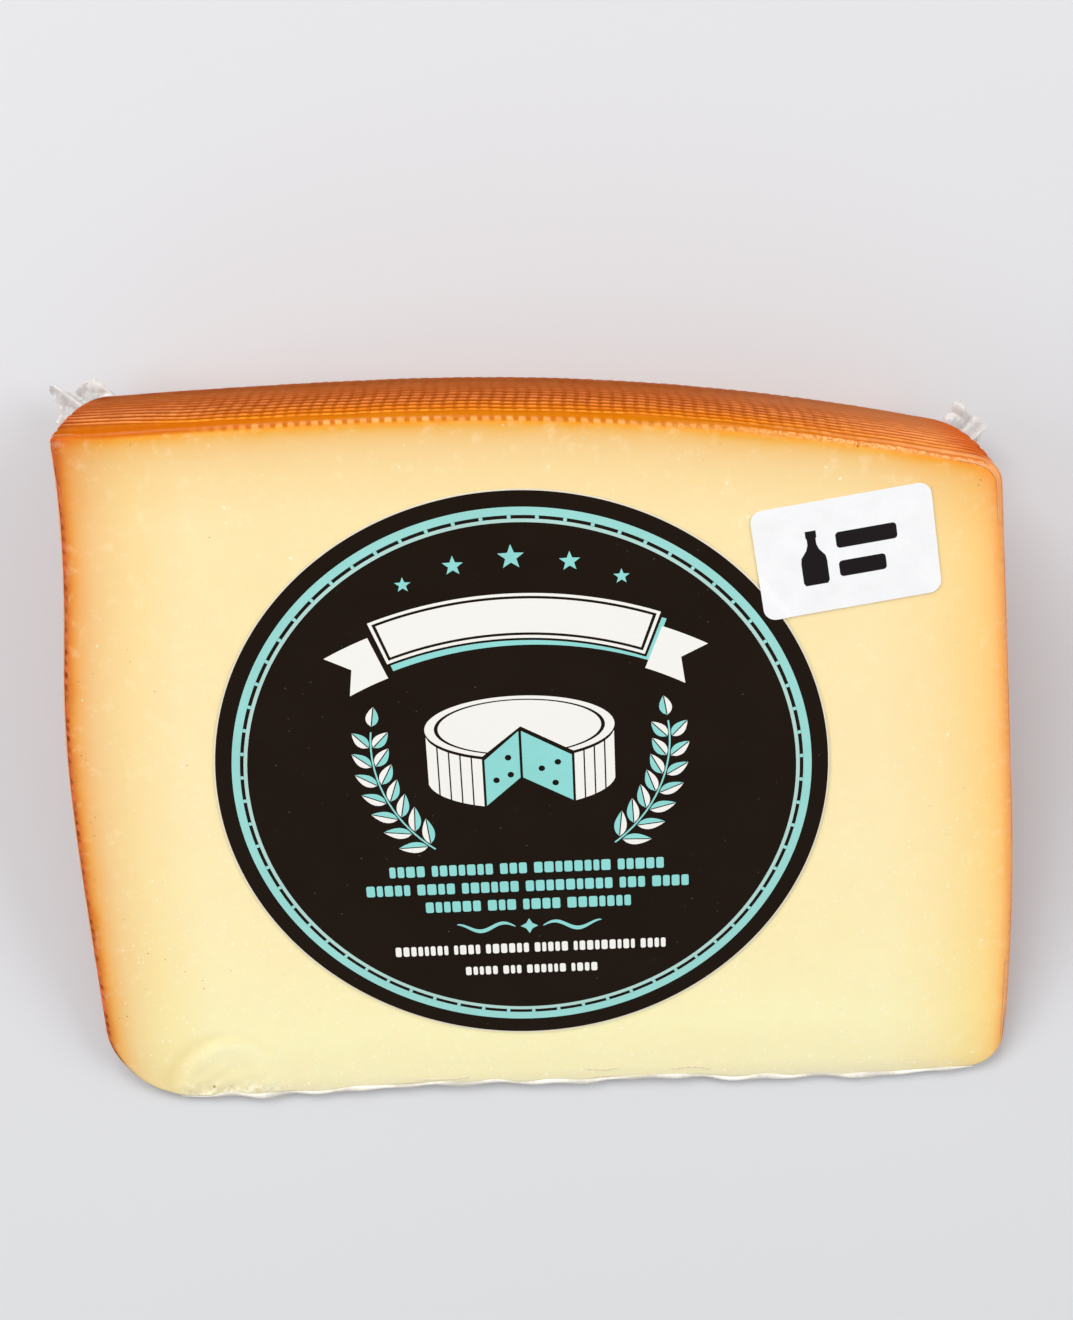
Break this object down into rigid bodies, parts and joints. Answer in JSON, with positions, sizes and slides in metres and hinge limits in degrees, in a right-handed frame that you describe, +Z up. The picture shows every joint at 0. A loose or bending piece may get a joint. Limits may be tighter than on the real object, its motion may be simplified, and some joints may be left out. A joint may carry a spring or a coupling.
{
  "type": "wedge of aged sheep cheese",
  "caption": "Vacuum-sealed wedge of aged cloth-bound sheep cheese with an orange rind, a round black label and a small white sticker.",
  "frame": {"origin": "middle of the underside of the whole part's box", "axes": "+Z up, +X along the wedge's sharp edge, +Y from the sharp edge to the rim rind; it lies on one cut face"},
  "size_m": [0.1644, 0.1298, 0.0541],
  "materials": {
    "cheese": "cream-yellow cheese paste seen through tight clear film, orange towards the rind",
    "rind": "reddish-orange rind with the print of a cloth, under film",
    "film": "thin clear shrink film, glossy",
    "label": "black printed paper, satin",
    "label_print": "turquoise and white print",
    "sticker": "white paper, matt"
  },
  "bodies": {
    "root": {"cheese_in_film": "cheese", "round_label": "label", "small_sticker": "sticker"}
  },
  "joints": []
}
